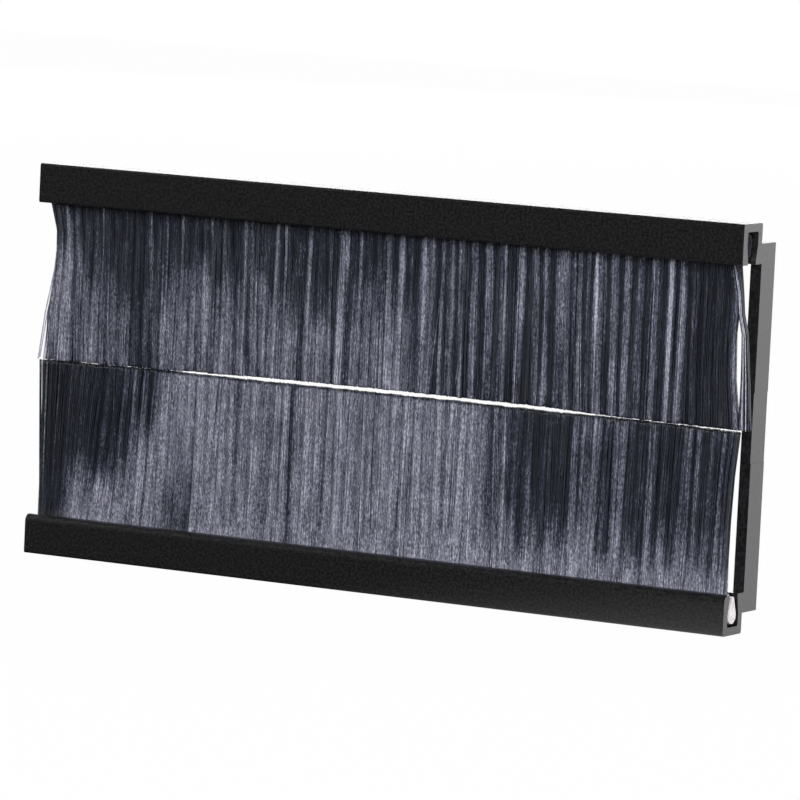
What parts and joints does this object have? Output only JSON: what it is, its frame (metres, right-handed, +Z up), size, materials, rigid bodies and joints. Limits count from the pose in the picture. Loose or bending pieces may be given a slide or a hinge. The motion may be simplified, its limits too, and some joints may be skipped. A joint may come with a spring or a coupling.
{
  "type": "brush cable grommet",
  "caption": "Snap-in face plate insert with a rectangular cable window closed by two facing strips of bristles, which cables pass between.",
  "frame": {"origin": "centre of the face plate's aperture, in the plane of the flange's rear face", "axes": "+X along the module, +Y from the front to the back, the way the spigot goes in, +Z up"},
  "size_m": [0.1013, 0.009, 0.05],
  "materials": {
    "frame_plastic": "fine satin grain",
    "bristle_filament": "smooth extruded filament with a sheen along its length",
    "core_plastic": "unpigmented, slightly waxy"
  },
  "bodies": {
    "root": {"frame": "frame_plastic", "upper_bristles": "bristle_filament", "upper_core": "core_plastic", "lower_bristles": "bristle_filament", "lower_core": "core_plastic"}
  },
  "joints": []
}
